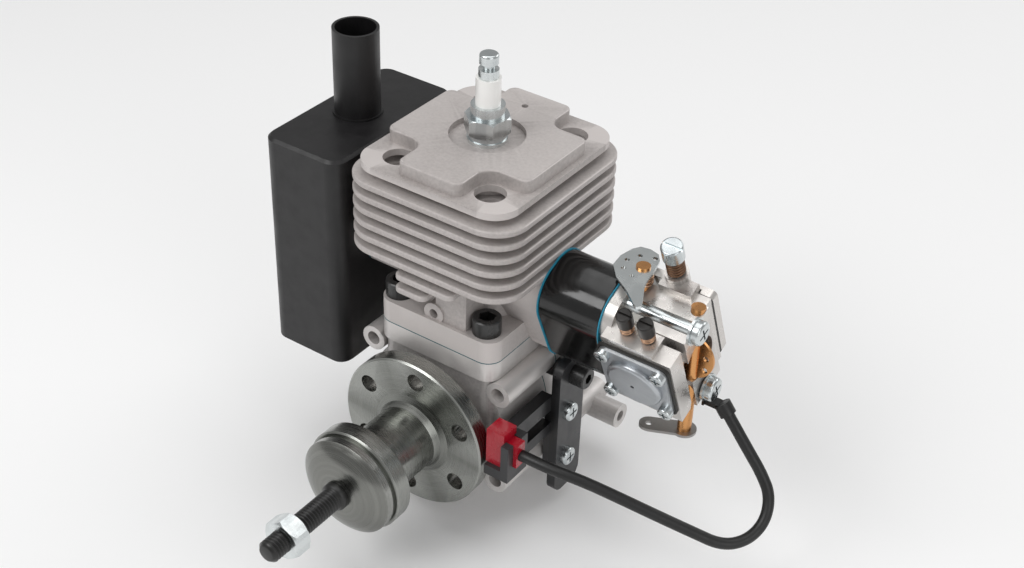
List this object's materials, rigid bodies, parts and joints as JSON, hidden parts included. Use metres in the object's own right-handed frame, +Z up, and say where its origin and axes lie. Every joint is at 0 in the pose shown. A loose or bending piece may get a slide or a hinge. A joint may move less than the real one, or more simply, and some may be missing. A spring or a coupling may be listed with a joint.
{
  "type": "model aircraft petrol engine",
  "caption": "Single-cylinder two-stroke model aircraft engine with finned cylinder, box muffler, diaphragm carburettor, spark plug, propeller hub and timing sensor.",
  "frame": {"origin": "centre of the four mounting bolts in the rear mounting plane; the crank axis is 2 mm below it", "axes": "-Y along the crank axis to the propeller, +Z up the cylinder, +X to the carburettor"},
  "size_m": [0.1898, 0.1525, 0.1616],
  "materials": {
    "cast_aluminium": "bead-blasted casting",
    "gasket_fibre": "matte fibre",
    "black_oxide_steel": "oiled black oxide",
    "bearing_steel": "ground",
    "seal_rubber": "moulded",
    "forged_steel": "shot-blasted forging",
    "machined_aluminium": "turned",
    "hub_anodised": "turned and grey anodised",
    "zinc_plated_steel": "zinc plated",
    "lever_steel": "stamped",
    "plug_ceramic": "glazed",
    "muffler_paint": "high-temperature matte black",
    "phenolic_black": "semi-gloss",
    "carb_zinc_alloy": "satin die casting",
    "brass": "turned",
    "spring_steel": "wire",
    "needle_cap_black": "matte",
    "sensor_red": "moulded",
    "cable_rubber": "matte"
  },
  "bodies": {
    "engine": {"crankcase_front": "cast_aluminium", "crankcase_rear": "cast_aluminium", "crankcase_gasket": "gasket_fibre", "crankcase_screws": "black_oxide_steel", "rear_cover": "cast_aluminium", "bearing_outer_rings": "bearing_steel", "front_seal": "seal_rubber", "cylinder": "cast_aluminium", "base_gasket": "gasket_fibre", "base_bolts": "black_oxide_steel", "plug_shell": "zinc_plated_steel", "plug_gasket": "zinc_plated_steel", "plug_insulator": "plug_ceramic", "plug_terminal": "zinc_plated_steel", "muffler_shell": "muffler_paint", "muffler_stack": "muffler_paint", "muffler_gasket": "gasket_fibre", "muffler_bolts": "black_oxide_steel", "intake_insulator": "phenolic_black", "insulator_gaskets": "gasket_fibre", "carb_body": "carb_zinc_alloy", "carb_cover_gaskets": "gasket_fibre", "metering_cover": "zinc_plated_steel", "pump_cover": "carb_zinc_alloy", "carb_cover_screws": "zinc_plated_steel", "fuel_nipple": "brass", "carb_springs": "spring_steel", "carb_screws": "zinc_plated_steel", "sensor_bracket": "phenolic_black", "sensor_arm": "phenolic_black", "bracket_screws": "zinc_plated_steel", "hall_sensor": "sensor_red", "sensor_cable": "cable_rubber", "cable_terminal": "cable_rubber"},
    "crank": {"crankshaft_front": "bearing_steel", "crankshaft_rear": "bearing_steel", "bearing_inner_rings": "bearing_steel", "bearing_balls": "bearing_steel", "prop_hub": "hub_anodised", "hub_magnet": "bearing_steel", "thrust_washer": "hub_anodised", "clamp_cone": "hub_anodised", "prop_stud": "black_oxide_steel", "prop_nut": "zinc_plated_steel"},
    "piston": {"piston": "machined_aluminium", "piston_rings": "forged_steel", "wrist_pin": "bearing_steel", "wrist_pin_clips": "bearing_steel", "conrod": "forged_steel", "conrod_bearings": "bearing_steel", "crank_pin": "bearing_steel"},
    "throttle": {"throttle_shaft": "brass", "throttle_disc": "brass", "throttle_lever": "zinc_plated_steel"},
    "choke": {"choke_shaft": "brass", "choke_disc": "brass", "choke_lever": "lever_steel"},
    "idle_adjuster": {"idle_screw": "zinc_plated_steel"},
    "low_speed_needle": {"needle_low": "needle_cap_black"},
    "high_speed_needle": {"needle_high": "needle_cap_black"}
  },
  "joints": [
    {"name": "crank_spin", "type": "hinge", "parent": "engine", "child": "crank", "pos_m": [0, -0.038, -0.002], "axis": [0, -1, 0], "continuous": true},
    {"name": "piston_slide", "type": "slide", "parent": "engine", "child": "piston", "axis": [0, 0, 1], "range_m": [-0.028, 0]},
    {"name": "throttle_turn", "type": "hinge", "parent": "engine", "child": "throttle", "pos_m": [0.062, -0.038, 0.045], "axis": [0, 0, 1], "range_deg": [0, 62], "stiffness_Nm_per_rad": 0.01, "springref_deg": -34.38},
    {"name": "choke_turn", "type": "hinge", "parent": "engine", "child": "choke", "pos_m": [0.083, -0.038, 0.045], "axis": [0, 0, 1], "range_deg": [0, 78]},
    {"name": "idle_screw_turn", "type": "hinge", "parent": "engine", "child": "idle_adjuster", "pos_m": [0.0715, -0.03259, 0.06916], "axis": [0, -0.3987, 0.9171], "range_deg": [-540, 540]},
    {"name": "low_needle_turn", "type": "hinge", "parent": "engine", "child": "low_speed_needle", "pos_m": [0.0665, -0.05423, 0.05975], "axis": [0, -0.3987, 0.9171], "range_deg": [-540, 540]},
    {"name": "high_needle_turn", "type": "hinge", "parent": "engine", "child": "high_speed_needle", "pos_m": [0.0742, -0.05423, 0.05975], "axis": [0, -0.3987, 0.9171], "range_deg": [-540, 540]}
  ]
}
